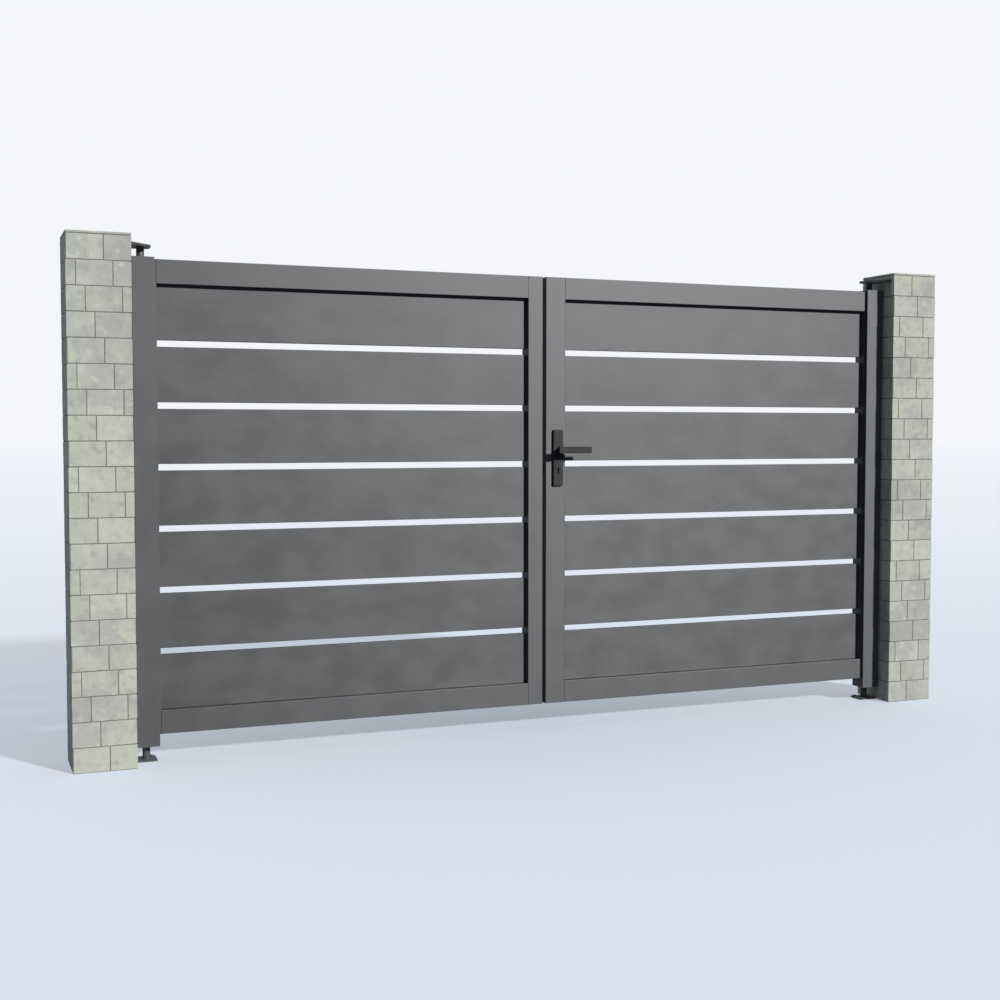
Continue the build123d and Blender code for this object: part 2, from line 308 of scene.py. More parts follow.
class Textures:
    """Shader node groups that several finishes share."""

    CLOUD_DETAIL: ClassVar[float] = 5.0
    CLOUD_RANGE: ClassVar[Range] = (0.32, 0.68)
    CLOUD_SHARE: ClassVar[float] = 0.65
    SPECK_TIMES: ClassVar[float] = 9.0
    SPECK_DETAIL: ClassVar[float] = 3.0
    SPECK_SHARE: ClassVar[float] = 0.35
    PEEL_DETAIL: ClassVar[float] = 1.0
    PATCH_DETAIL: ClassVar[float] = 4.0
    PATCH_RANGE: ClassVar[Range] = (0.37, 0.56)
    FLOW_TIMES: ClassVar[float] = 7.0
    FLOW_DETAIL: ClassVar[float] = 6.0
    FLOW_HEIGHT: ClassVar[float] = 1.4
    PIT_RANGE: ClassVar[Range] = (0.5, 0.28)
    PIT_MOST: ClassVar[float] = 0.7
    FLECK_RANGE: ClassVar[Range] = (0.54, 0.72)
    FLECK_MOST: ClassVar[float] = 0.85
    GRAIN_DETAIL: ClassVar[float] = 3.0
    GRAIN_RANGE: ClassVar[Range] = (0.2, 0.8)
    GRAIN_ROUGHNESS: ClassVar[Range] = (0.78, 0.96)
    GRAIN_HEIGHT: ClassVar[float] = 0.6

    def __init__(self) -> None:
        """Build the groups."""
        self.coat = self._coat()
        self.mineral = self._mineral()

    @classmethod
    def _coat(cls) -> Graph:
        """A sprayed or powder coat: soft clouds in colour and gloss, fine peel in height.

        Returns:
            The group with outputs Color, Roughness and Height.
        """
        g = new_group(
            "coat_texture",
            "ShaderNodeTree",
            {
                "Dark": ("Color", (0.05, 0.05, 0.05, 1.0)),
                "Light": ("Color", (0.1, 0.1, 0.1, 1.0)),
                "Roughness Low": ("Float", 0.4),
                "Roughness High": ("Float", 0.5),
                "Cloud Scale": ("Float", 5.0),
                "Stretch": ("Float", 1.0),
                "Peel Scale": ("Float", 900.0),
            },
            {"Color": "Color", "Roughness": "Float", "Height": "Float"},
        )
        source = g.node("NodeGroupInput").outputs
        place = g.node("ShaderNodeTexCoord").outputs["Object"]
        shorter = g.math("DIVIDE", 1.0, source["Stretch"])
        drawn = g.node("ShaderNodeCombineXYZ", {0: shorter, 1: 1.0, 2: 1.0}).outputs[0]
        streak = g.node("ShaderNodeVectorMath", {0: place, 1: drawn}, operation="MULTIPLY").outputs[0]
        wide = g.noise(source["Cloud Scale"], cls.CLOUD_DETAIL, streak)
        speck = g.noise(g.math("MULTIPLY", source["Cloud Scale"], cls.SPECK_TIMES), cls.SPECK_DETAIL, streak)
        cloud = g.span(wide, *cls.CLOUD_RANGE, 0.0, 1.0)
        fine = g.math("MULTIPLY", speck, cls.SPECK_SHARE)
        tone = g.math("ADD", g.math("MULTIPLY", cloud, cls.CLOUD_SHARE), fine)
        peel = g.noise(source["Peel Scale"], cls.PEEL_DETAIL, place)
        gloss = g.span(tone, 0.0, 1.0, source["Roughness Low"], source["Roughness High"])
        colour = g.mix(tone, source["Dark"], source["Light"])
        g.node("NodeGroupOutput", {"Color": colour, "Roughness": gloss, "Height": peel})
        return g

    @classmethod
    def _mineral(cls) -> Graph:
        """Stone or mortar: two-colour mottling, pale flecks, dark pits and a grainy height.

        Returns:
            The group with outputs Color, Roughness and Height.
        """
        g = new_group(
            "mineral_texture",
            "ShaderNodeTree",
            {
                "Base": ("Color", (0.4, 0.4, 0.4, 1.0)),
                "Stain": ("Color", (0.5, 0.5, 0.4, 1.0)),
                "Fleck": ("Color", (0.6, 0.6, 0.6, 1.0)),
                "Pit": ("Color", (0.2, 0.2, 0.2, 1.0)),
                "Patch Scale": ("Float", 14.0),
                "Grain Scale": ("Float", 300.0),
                "Shift": ("Float", 0.0),
            },
            {"Color": "Color", "Roughness": "Float", "Height": "Float"},
        )
        source = g.node("NodeGroupInput").outputs
        place = g.node("ShaderNodeTexCoord").outputs["Object"]
        patch = g.noise(source["Patch Scale"], cls.PATCH_DETAIL, place)
        finer = g.math("MULTIPLY", source["Patch Scale"], cls.FLOW_TIMES)
        flow = g.noise(finer, cls.FLOW_DETAIL, place, source["Shift"])
        grain = g.noise(source["Grain Scale"], cls.GRAIN_DETAIL, place, source["Shift"])
        stained = g.mix(g.span(patch, *cls.PATCH_RANGE, 0.0, 1.0), source["Base"], source["Stain"])
        pitted = g.mix(g.span(flow, *cls.PIT_RANGE, 0.0, cls.PIT_MOST), stained, source["Pit"])
        flecked = g.mix(g.span(flow, *cls.FLECK_RANGE, 0.0, cls.FLECK_MOST), pitted, source["Fleck"])
        rough = g.span(grain, *cls.GRAIN_RANGE, *cls.GRAIN_ROUGHNESS)
        grainy = g.math("MULTIPLY", grain, cls.GRAIN_HEIGHT)
        height = g.math("ADD", g.math("MULTIPLY", flow, cls.FLOW_HEIGHT), grainy)
        g.node("NodeGroupOutput", {"Color": flecked, "Roughness": rough, "Height": height})
        return g


def start_material(name: str) -> tuple[bpy.types.Material, Graph, bpy.types.Node]:
    """Start a node material.

    Args:
        name: The material's name.

    Returns:
        The material, its tree and its shader, linked to the output.
    """
    made = bpy.data.materials.new(name)
    made.use_nodes = True
    made.node_tree.nodes.clear()
    graph = Graph(made.node_tree)
    shader = graph.node("ShaderNodeBsdfPrincipled")
    graph.node("ShaderNodeOutputMaterial", {"Surface": shader.outputs[0]})
    return made, graph, shader


@dataclass(frozen=True)
class Coat:
    """A powder coat or another thin finish on metal."""

    name: str
    dark: Colour
    light: Colour
    metallic: float
    roughness: Range
    cloud_scale: float = 4.0
    stretch: float = 1.0
    peel_scale: float = 700.0
    peel_depth: float = 0.00012
    peel_strength: float = 0.35
    drawn: float = 0.0

    def material(self, textures: Textures) -> bpy.types.Material:
        """Build the material from the shared coat texture.

        Args:
            textures: The shared groups.

        Returns:
            The finished material.
        """
        made, g, shader = start_material(self.name)
        inputs = {
            "Dark": rgba(self.dark),
            "Light": rgba(self.light),
            "Roughness Low": self.roughness[0],
            "Roughness High": self.roughness[1],
            "Cloud Scale": self.cloud_scale,
            "Stretch": self.stretch,
            "Peel Scale": self.peel_scale,
        }
        coat = g.node("ShaderNodeGroup", node_tree=textures.coat.tree)
        for label, value in inputs.items():
            coat.inputs[label].default_value = value
        bump = g.node("ShaderNodeBump", {"Height": coat.outputs["Height"]})
        bump.inputs["Strength"].default_value = self.peel_strength
        bump.inputs["Distance"].default_value = self.peel_depth
        g.feed(shader.inputs["Base Color"], coat.outputs["Color"])
        g.feed(shader.inputs["Roughness"], coat.outputs["Roughness"])
        g.feed(shader.inputs["Normal"], bump.outputs[0])
        shader.inputs["Metallic"].default_value = self.metallic
        shader.inputs["Anisotropic"].default_value = self.drawn
        shader.inputs["Anisotropic Rotation"].default_value = UPRIGHT
        return made


@dataclass(frozen=True)
class Mineral:
    """Stone or mortar."""

    name: str
    base: Colour
    stain: Colour
    fleck: Colour
    pit: Colour
    patch_scale: float
    grain_scale: float
    depth: float
    by_stone: float = 0.0
    shift: float = 40.0
    bump: float = 0.6
    specular: float = 0.3

    def material(self, textures: Textures) -> bpy.types.Material:
        """Build the material from the shared mineral texture.

        Args:
            textures: The shared groups.

        Returns:
            The finished material.
        """
        made, g, shader = start_material(self.name)
        rock = g.node("ShaderNodeGroup", node_tree=textures.mineral.tree)
        inputs = {
            "Base": rgba(self.base),
            "Stain": rgba(self.stain),
            "Fleck": rgba(self.fleck),
            "Pit": rgba(self.pit),
            "Patch Scale": self.patch_scale,
            "Grain Scale": self.grain_scale,
        }
        for label, value in inputs.items():
            rock.inputs[label].default_value = value
        colour = rock.outputs["Color"]
        if self.by_stone:
            tone = g.node("ShaderNodeAttribute", attribute_name=STONE_TONE).outputs["Fac"]
            g.feed(rock.inputs["Shift"], g.math("MULTIPLY", tone, self.shift))
            value = g.math("MULTIPLY_ADD", tone, self.by_stone, 1.0 - self.by_stone / 2.0)
            colour = g.node("ShaderNodeHueSaturation", {"Color": colour, "Value": value}).outputs[0]
        bump = g.node("ShaderNodeBump", {"Height": rock.outputs["Height"]})
        bump.inputs["Strength"].default_value = self.bump
        bump.inputs["Distance"].default_value = self.depth
        g.feed(shader.inputs["Base Color"], colour)
        g.feed(shader.inputs["Roughness"], rock.outputs["Roughness"])
        g.feed(shader.inputs["Normal"], bump.outputs[0])
        shader.inputs["Specular IOR Level"].default_value = self.specular
        return made


@dataclass(frozen=True)
class Finishes:
    """Every finish on the gate."""

    frame: Coat = Coat(
        name="anthracite_frame",
        dark=(0.122, 0.123, 0.125),
        light=(0.146, 0.147, 0.149),
        metallic=0.65,
        roughness=(0.53, 0.57),
        cloud_scale=9.0,
        drawn=0.38,
    )
    plank: Coat = Coat(
        name="anthracite_plank",
        dark=(0.103, 0.104, 0.106),
        light=(0.148, 0.149, 0.151),
        metallic=0.65,
        roughness=(0.52, 0.58),
        cloud_scale=9.0,
        stretch=1.4,
        drawn=0.38,
    )
    hardware: Coat = Coat(
        name="pivot_paint",
        dark=(0.12, 0.122, 0.127),
        light=(0.15, 0.152, 0.157),
        metallic=0.4,
        roughness=(0.45, 0.55),
    )
    handle: Coat = Coat(
        name="black_handle",
        dark=(0.038, 0.038, 0.038),
        light=(0.05, 0.05, 0.05),
        metallic=0.6,
        roughness=(0.44, 0.52),
        cloud_scale=20.0,
    )
    lock: Coat = Coat(
        name="lock_steel",
        dark=(0.07, 0.07, 0.07),
        light=(0.1, 0.1, 0.1),
        metallic=0.9,
        roughness=(0.35, 0.45),
        cloud_scale=30.0,
    )
    stone: Mineral = Mineral(
        name="coursed_stone",
        base=(0.455, 0.458, 0.413),
        stain=(0.55, 0.56, 0.458),
        fleck=(0.6, 0.605, 0.535),
        pit=(0.385, 0.387, 0.355),
        patch_scale=6.0,
        grain_scale=420.0,
        depth=0.0014,
        by_stone=0.13,
    )
    mortar: Mineral = Mineral(
        name="joint_mortar",
        base=(0.2, 0.2, 0.185),
        stain=(0.24, 0.24, 0.21),
        fleck=(0.3, 0.3, 0.27),
        pit=(0.14, 0.14, 0.13),
        patch_scale=15.0,
        grain_scale=700.0,
        depth=0.0008,
    )


def stone_tree() -> Graph:
    """Coursed stones round a square pillar.

    Stones are laid out flat along the four faces, each course a quarter stone further on, and then
    folded round the pillar, so that a stone at a corner turns it.

    Returns:
        The geometry tree.
    """
    g = new_group(
        "coursed_stones",
        "GeometryNodeTree",
        {
            "Side": ("Float", 0.2),
            "Height": ("Float", 1.8),
            "Course Height": ("Float", 0.08),
            "Courses": ("Int", 22),
            "Stones Round": ("Int", 7),
            "First Joint": ("Float", 0.0),
            "Course Step": ("Float", 0.25),
            "Joint": ("Float", 0.006),
            "Arris": ("Float", 0.002),
            "Depth": ("Float", 0.03),
            "Base": ("Vector", (0.0, 0.0, 0.0)),
            "Seed": ("Int", 1),
            "Material": ("Material", None),
        },
        {"Geometry": "Geometry"},
    )
    source = g.node("NodeGroupInput").outputs
    length = g.math("DIVIDE", g.math("MULTIPLY", source["Side"], 4.0), source["Stones Round"])
    block = _single_stone(g, source, length)
    laid = _laid_flat(g, source, length, block)
    folded = _folded_round(g, source, laid)
    clean = g.node("GeometryNodeMergeByDistance", {"Geometry": folded, "Distance": MERGE}).outputs[0]
    smooth = g.node("GeometryNodeSetShadeSmooth", {"Geometry": clean}).outputs[0]
    angle = g.node("GeometryNodeInputMeshEdgeAngle").outputs[0]
    corner = g.math("GREATER_THAN", angle, CORNER_ANGLE)
    crisp = g.node(
        "GeometryNodeSetShadeSmooth",
        {"Geometry": smooth, "Selection": corner, "Shade Smooth": False},
        domain="EDGE",
    ).outputs[0]
    end_tree(g, crisp, source["Material"])
    return g


def _single_stone(g: Graph, source: Any, length: bpy.types.NodeSocket) -> bpy.types.NodeSocket:
    """One stone with half a joint taken off all round and a rounded arris.

    Args:
        g: The tree.
        source: The tree's inputs.
        length: Length of a stone with its joint.

    Returns:
        The stone's geometry, its face towards -Y.
    """
    size = g.node("ShaderNodeCombineXYZ", {0: length, 1: source["Depth"], 2: source["Course Height"]}).outputs[0]
    rows = {f"Vertices {axis}": cells + 1 for axis, cells in STONE_CELLS.items()}
    cube = g.node("GeometryNodeMeshCube", {"Size": size, "Vertices Y": 2} | rows).outputs[0]
    place = g.node("ShaderNodeSeparateXYZ", {0: g.node("GeometryNodeInputPosition").outputs[0]}).outputs
    trimmed, rims, nexts = {}, [], []
    for axis, full in (("X", length), ("Z", source["Course Height"])):
        half = g.math("MULTIPLY", full, 0.5)
        far = g.math("ABSOLUTE", place[axis])
        share = g.math("DIVIDE", far, half)
        cell = 2.0 / STONE_CELLS[axis]
        rim = g.math("GREATER_THAN", share, 1.0 - 0.5 * cell)
        near = g.math("SUBTRACT", g.math("GREATER_THAN", share, 1.0 - 1.5 * cell), rim)
        edge = g.math("SUBTRACT", half, g.math("MULTIPLY", source["Joint"], 0.5))
        inner = g.math("SUBTRACT", edge, g.math("MULTIPLY", source["Arris"], ARRIS_WIDTH))
        moved = g.math("ADD", g.math("MULTIPLY", rim, edge), g.math("MULTIPLY", near, inner))
        kept = g.math("SUBTRACT", 1.0, g.math("ADD", rim, near))
        value = g.math("MULTIPLY_ADD", kept, g.math("MULTIPLY", far, STONE_SPREAD[axis]), moved)
        trimmed[axis] = g.math("MULTIPLY", value, g.math("SIGN", place[axis]))
        rims.append(rim)
        nexts.append(near)
    rim = g.math("MAXIMUM", *rims)
    ring = g.math("MULTIPLY", g.math("MAXIMUM", *nexts), g.math("SUBTRACT", 1.0, rim))
    sink = g.math("MULTIPLY_ADD", ring, ARRIS_RING, rim)
    front = g.math("LESS_THAN", place["Y"], 0.0)
    pulled = g.math("MULTIPLY", g.math("MULTIPLY", sink, front), source["Arris"])
    shaped = g.node(
        "ShaderNodeCombineXYZ", {0: trimmed["X"], 1: g.math("ADD", place["Y"], pulled), 2: trimmed["Z"]}
    ).outputs[0]
    return g.node("GeometryNodeSetPosition", {"Geometry": cube, "Position": shaped}).outputs[0]


def _laid_flat(
    g: Graph, source: Any, length: bpy.types.NodeSocket, block: bpy.types.NodeSocket
) -> bpy.types.NodeSocket:
    """Stones in courses on a flat strip as long as the pillar is round.

    Args:
        g: The tree.
        source: The tree's inputs.
        length: Length of a stone with its joint.
        block: One stone.

    Returns:
        The realized stones, each with its own tone.
    """
    index = g.node("GeometryNodeInputIndex").outputs[0]
    course = g.math("FLOOR", g.math("DIVIDE", index, source["Stones Round"]))
    number = g.math("SUBTRACT", index, g.math("MULTIPLY", course, source["Stones Round"]))
    shift = g.math("SUBTRACT", source["First Joint"], g.math("MULTIPLY", course, source["Course Step"]))
    along = g.math("MULTIPLY", g.math("ADD", g.math("ADD", number, 0.5), shift), length)
    up = g.math("MULTIPLY", g.math("ADD", course, 0.5), source["Course Height"])
    spot = g.node("ShaderNodeCombineXYZ", {0: along, 1: 0.0, 2: up}).outputs[0]
    count = g.math("MULTIPLY", source["Courses"], source["Stones Round"])
    points = g.node("GeometryNodePoints", {"Count": count, "Position": spot}).outputs[0]
    stones = g.node("GeometryNodeInstanceOnPoints", {"Points": points, "Instance": block}).outputs[0]
    tone = g.node("FunctionNodeRandomValue", {"Min": 0.0, "Max": 1.0, "Seed": source["Seed"]}, data_type="FLOAT")
    named = g.node(
        "GeometryNodeStoreNamedAttribute",
        {"Geometry": stones, "Name": STONE_TONE, "Value": g.socket(tone.outputs, "Value")},
        data_type="FLOAT",
        domain="INSTANCE",
    ).outputs[0]
    return g.node("GeometryNodeRealizeInstances", {"Geometry": named}).outputs[0]


def _folded_round(g: Graph, source: Any, laid: bpy.types.NodeSocket) -> bpy.types.NodeSocket:
    """Fold the flat courses round the pillar.

    Args:
        g: The tree.
        source: The tree's inputs.
        laid: The flat courses.

    Returns:
        The stones round the pillar, cut off at its top.
    """
    flat = g.node("ShaderNodeSeparateXYZ", {0: g.node("GeometryNodeInputPosition").outputs[0]}).outputs
    depth = g.math("ADD", flat["Y"], g.math("MULTIPLY", source["Depth"], 0.5))
    side = source["Side"]
    round_way = g.math("FLOORED_MODULO", flat["X"], g.math("MULTIPLY", side, 4.0))
    face = g.math("FLOOR", g.math("DIVIDE", round_way, side))
    along = g.math("SUBTRACT", round_way, g.math("MULTIPLY", face, side))
    half = g.math("MULTIPLY", side, 0.5)
    shrink = g.math("SUBTRACT", 1.0, g.math("DIVIDE", depth, half))
    across = g.math("MULTIPLY", g.math("SUBTRACT", along, half), shrink)
    out = g.math("MULTIPLY", half, g.math("MULTIPLY", shrink, -1.0))
    up = g.math("MINIMUM", flat["Z"], source["Height"])
    first_face = g.node("ShaderNodeCombineXYZ", {0: across, 1: out, 2: up}).outputs[0]
    turned = g.node(
        "ShaderNodeVectorRotate",
        {"Vector": first_face, "Angle": g.math("MULTIPLY", face, math.pi / 2.0)},
        rotation_type="Z_AXIS",
    ).outputs[0]
    placed = g.node("ShaderNodeVectorMath", {0: turned, 1: source["Base"]}, operation="ADD").outputs[0]
    return g.node("GeometryNodeSetPosition", {"Geometry": laid, "Position": placed}).outputs[0]


@dataclass
class Pillar:
    """A square gate pillar of coursed stone on a mortar core."""

    name: str
    first_joint: float
    seed: int
    course: float = 0.0837
    course_step: float = 0.25
    stones_round: int = 7
    joint: float = 0.0032
    arris: float = 0.0007
    stone_depth: float = 0.03
    joint_depth: float = 0.002
    crown: float = 0.006
    crown_top: float = 0.002
    crown_width: float = 0.6

    def build(self, tree: Graph, stone: bpy.types.Material, mortar: bpy.types.Material) -> None:
        """Make the stones and the core in the place of the solid.

        Args:
            tree: The tree that lays stones.
            stone: Finish of the stones.
            mortar: Finish of the joints and the top.
        """
        low, high = (Vector(corner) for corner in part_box(self.name))
        base = Vector(((low.x + high.x) / 2.0, (low.y + high.y) / 2.0, low.z))
        stones = grow(
            f"{self.name}_stones",
            tree,
            {
                "Side": high.x - low.x,
                "Height": high.z - low.z,
                "Course Height": self.course,
                "Courses": math.ceil((high.z - low.z) / self.course),
                "Stones Round": self.stones_round,
                "First Joint": self.first_joint,
                "Course Step": self.course_step,
                "Joint": self.joint,
                "Arris": self.arris,
                "Depth": self.stone_depth,
                "Base": base,
                "Seed": self.seed,
                "Material": stone,
            },
        )
        seat(stones, Body.ROOT, Slot.STONE, self.name)
        seat(self._core(base, (high.x - low.x) / 2.0, high.z - low.z, mortar), Body.ROOT, Slot.STONE)

    def _core(self, base: Vector, half: float, height: float, mortar: bpy.types.Material) -> bpy.types.Object:
        """The mortar core, set back to the depth of the joints, with a crowned top.

        Args:
            base: Middle of the pillar's foot.
            half: Half the pillar's side.
            height: The pillar's height.
            mortar: The finish.

        Returns:
            The core.
        """
        shape = bmesh.new()
        reach = half - self.joint_depth
        top = (reach * self.crown_width, height - self.crown_top)
        levels = [(reach, 0.0), (reach, height - self.crown), top]
        rings = []
        for width, z in levels:
            corners = [(-width, -width), (width, -width), (width, width), (-width, width)]
            rings.append([shape.verts.new((base.x + x, base.y + y, base.z + z)) for x, y in corners])
        for lower, upper in zip(rings, rings[1:]):
            for i in range(4):
                shape.faces.new((lower[i], lower[(i + 1) % 4], upper[(i + 1) % 4], upper[i]))
        shape.faces.new(reversed(rings[0]))
        shape.faces.new(rings[-1])
        mesh = bpy.data.meshes.new(f"{self.name}_mortar")
        shape.to_mesh(mesh)
        shape.free()
        mesh.materials.append(mortar)
        return mesh_object(mesh.name, mesh)


def screw_tree() -> Graph:
    """Raised screw heads with a round socket, one at each starting point.

    Returns:
        The geometry tree.
    """
    g = new_group(
        "screw_heads",
        "GeometryNodeTree",
        {
            "Geometry": ("Geometry", None),
            "Radius": ("Float", 0.0045),
            "Height": ("Float", 0.001),
            "Rim": ("Float", 0.75),
            "Socket": ("Float", 0.5),
            "Facing": ("Vector", (0.0, 0.0, 1.0)),
            "Material": ("Material", None),
        },
        {"Geometry": "Geometry"},
    )
    source = g.node("NodeGroupInput").outputs
    rim = g.math("MULTIPLY", source["Radius"], source["Rim"])
    cone = g.node(
        "GeometryNodeMeshCone",
        {"Vertices": HEAD_SIDES, "Radius Top": rim, "Radius Bottom": source["Radius"], "Depth": source["Height"]},
    ).outputs
    inset = g.node(
        "GeometryNodeExtrudeMesh", {"Mesh": cone["Mesh"], "Selection": cone["Top"], "Offset Scale": 0.0}
    ).outputs
    shrunk = g.node(
        "GeometryNodeScaleElements", {"Geometry": inset["Mesh"], "Selection": inset["Top"], "Scale": source["Socket"]}
    ).outputs[0]
    depth = g.math("MULTIPLY", source["Height"], SOCKET_DEPTH)
    sunk = g.node(
        "GeometryNodeExtrudeMesh", {"Mesh": shrunk, "Selection": inset["Top"], "Offset Scale": depth}
    ).outputs[0]
    turn = g.node("FunctionNodeAlignRotationToVector", {"Vector": source["Facing"]}, axis="Z").outputs[0]
    heads = g.node(
        "GeometryNodeInstanceOnPoints", {"Points": source["Geometry"], "Instance": sunk, "Rotation": turn}
    ).outputs[0]
    end_tree(g, heads, source["Material"])
    return g


def weld_tree() -> Graph:
    """Weld beads round upright pins, one at each starting point.

    Returns:
        The geometry tree.
    """
    g = new_group(
        "weld_beads",
        "GeometryNodeTree",
        {
            "Geometry": ("Geometry", None),
            "Pin Radius": ("Float", 0.013),
            "Bead": ("Float", 0.0025),
            "Ripple": ("Float", 0.0003),
            "Seed": ("Int", 1),
            "Material": ("Material", None),
        },
        {"Geometry": "Geometry"},
    )
    source = g.node("NodeGroupInput").outputs
    circle = "GeometryNodeCurvePrimitiveCircle"
    ring = g.node(circle, {"Resolution": BEAD_STEPS, "Radius": source["Pin Radius"]}).outputs[0]
    section = g.node(circle, {"Resolution": BEAD_SIDES, "Radius": source["Bead"]}).outputs[0]
    bead = g.node("GeometryNodeCurveToMesh", {"Curve": ring, "Profile Curve": section}).outputs[0]
    least = g.math("MULTIPLY", source["Ripple"], -1.0)
    limits = {"Min": least, "Max": source["Ripple"], "Seed": source["Seed"]}
    swell = g.socket(g.node("FunctionNodeRandomValue", limits, data_type="FLOAT").outputs, "Value")
    normal = g.node("GeometryNodeInputNormal").outputs[0]
    lift = g.node("ShaderNodeVectorMath", {0: normal, "Scale": swell}, operation="SCALE").outputs[0]
    rippled = g.node("GeometryNodeSetPosition", {"Geometry": bead, "Offset": lift}).outputs[0]
    smooth = g.node("GeometryNodeSetShadeSmooth", {"Geometry": rippled}).outputs[0]
    beads = g.node("GeometryNodeInstanceOnPoints", {"Points": source["Geometry"], "Instance": smooth}).outputs[0]
    end_tree(g, beads, source["Material"])
    return g


@dataclass
class Fixings:
    """Screw heads, anchor bolts, the ends of the lock's bolts, and the welds that hold the pins."""

    lock_screw: float = 0.0042
    lock_screw_inset: float = 0.0075
    plate_screw: float = 0.0045
    plate_screw_inset: float = 0.012
    anchor: float = 0.0065
    anchor_height: float = 0.004
    anchor_inset: float = 0.012
    anchor_rim: float = 0.95
    head_height: float = 0.0009
    head_sink: float = 0.2
    bead: float = 0.0026
    ripple: float = 0.12
    bolt_width: float = 0.012
    latch_height: float = 0.02
    bolt_height: float = 0.038
    key_drop: float = 0.072
    bolt_proud: float = 0.0012
    latch_slope: float = 0.0008
    bolt_edge: float = 0.0004

    def build(self, steel: bpy.types.Material, handle: bpy.types.Material, paint: bpy.types.Material) -> None:
        """Make the fixings and let each ride with what it holds.

        Args:
            steel: Finish of the lock's screws.
            handle: Finish of the handle plate's screws.
            paint: Finish of the anchors and the welds.
        """
        screws = screw_tree()
        self._lock_screws(screws, "strike_plate", 1.0, Body.LEFT_LEAF, steel)
        self._lock_screws(screws, "lock_case", -1.0, Body.RIGHT_LEAF, steel)
        self._plate_screws(screws, handle)
        self._bolt_ends(steel)
        welds = weld_tree()
        for seed, side in enumerate(Side, 1):
            self._anchors(screws, side, paint)
            self._welds(welds, side, seed, paint)

    def _lock_screws(self, tree: Graph, node: str, way: float, body: Body, steel: bpy.types.Material) -> None:
        """Two screws in the edge of a lock or strike plate that faces along X.

        Args:
            tree: The tree that makes heads.
            node: The solid that they hold.
            way: 1 where the edge faces +X, -1 where it faces -X.
            body: The body that carries them.
            steel: The finish.
        """
        low, high = (Vector(corner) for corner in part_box(node))
        x = (high.x if way > 0.0 else low.x) + way * self.head_height * self.head_sink
        middle = (low.y + high.y) / 2.0
        points = [(x, middle, z) for z in (low.z + self.lock_screw_inset, high.z - self.lock_screw_inset)]
        piece = grow(f"{node}_screws", tree, self._head(self.lock_screw, (way, 0.0, 0.0), steel), points)
        seat(piece, body, Slot.LOCK)

    def _plate_screws(self, tree: Graph, handle: bpy.types.Material) -> None:
        """Two screws that hold the handle plates together, their heads at the back.

        Args:
            tree: The tree that makes heads.
            handle: The finish.
        """
        low, high = (Vector(corner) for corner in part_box("back_handle_plate"))
        middle = (low.x + high.x) / 2.0
        y = high.y - self.head_height * self.head_sink
        points = [(middle, y, z) for z in (low.z + self.plate_screw_inset, high.z - self.plate_screw_inset)]
        piece = grow("handle_plate_screws", tree, self._head(self.plate_screw, (0.0, 1.0, 0.0), handle), points)
        seat(piece, Body.RIGHT_LEAF, Slot.HANDLE)

    def _bolt_ends(self, steel: bpy.types.Material) -> None:
        """Latch and dead bolt, drawn back until their ends stand just proud of the lock's edge.

        Args:
            steel: The finish.
        """
        low, high = (Vector(corner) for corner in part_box("lock_case"))
        spindle = sum((Vector(corner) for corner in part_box("spindle")), Vector()) / 2.0
        middle, half = (low.y + high.y) / 2.0, self.bolt_width / 2.0
        tip, root = low.x - self.bolt_proud, low.x + self.bolt_proud
        shape = bmesh.new()
        ends = ((spindle.z, self.latch_height, self.latch_slope), (spindle.z - self.key_drop, self.bolt_height, 0.0))
        for level, height, slope in ends:
            outline = [(root, -half), (root, half), (tip, half), (tip + slope, -half)]
            foot = [shape.verts.new((x, middle + y, level - height / 2.0)) for x, y in outline]
            face = shape.faces.new(foot)
            grown = bmesh.ops.extrude_face_region(shape, geom=[face])["geom"]
            lifted = [part for part in grown if isinstance(part, bmesh.types.BMVert)]
            bmesh.ops.translate(shape, verts=lifted, vec=(0.0, 0.0, height))
        bmesh.ops.recalc_face_normals(shape, faces=shape.faces)
        bmesh.ops.bevel(shape, geom=shape.edges, offset=self.bolt_edge, segments=2, affect="EDGES", profile=0.5)
        mesh = bpy.data.meshes.new("bolt_ends")
        shape.to_mesh(mesh)
        shape.free()
        mesh.materials.append(steel)
        seat(mesh_object(mesh.name, mesh), Body.RIGHT_LEAF, Slot.LOCK)

    def _anchors(self, tree: Graph, side: Side, paint: bpy.types.Material) -> None:
        """Anchor bolts at the back corners of a ground plate.

        Args:
            tree: The tree that makes heads.
            side: Which ground plate.
            paint: The finish.
        """
        low, high = (Vector(corner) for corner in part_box(f"{side.value}_ground_plate"))
        inset = self.anchor_inset
        back = high.y - inset
        points = [(x, back, high.z) for x in (low.x + inset, high.x - inset)]
        values = self._head(self.anchor, (0.0, 0.0, 1.0), paint)
        values |= {"Height": self.anchor_height, "Rim": self.anchor_rim}
        seat(grow(f"{side.value}_ground_plate_anchors", tree, values, points), Body.ROOT, Slot.HARDWARE)

    def _welds(self, tree: Graph, side: Side, seed: int, paint: bpy.types.Material) -> None:
        """A bead under the bracket and one on the ground plate, round their pins.

        Args:
            tree: The tree that makes beads.
            side: Which pins.
            seed: Seed of the beads' ripple.
            paint: The finish.
        """
        low, high = (Vector(corner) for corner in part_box(f"{side.value}_top_pin"))
        middle = (low + high) / 2.0
        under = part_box(f"{side.value}_top_bracket")[0][2]
        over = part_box(f"{side.value}_ground_plate")[1][2]
        points = [(middle.x, middle.y, z) for z in (under, over)]
        values = {
            "Pin Radius": (high.x - low.x) / 2.0,
            "Bead": self.bead,
            "Ripple": self.bead * self.ripple,
            "Seed": seed,
            "Material": paint,
        }
        seat(grow(f"{side.value}_pin_welds", tree, values, points), Body.ROOT, Slot.HARDWARE)

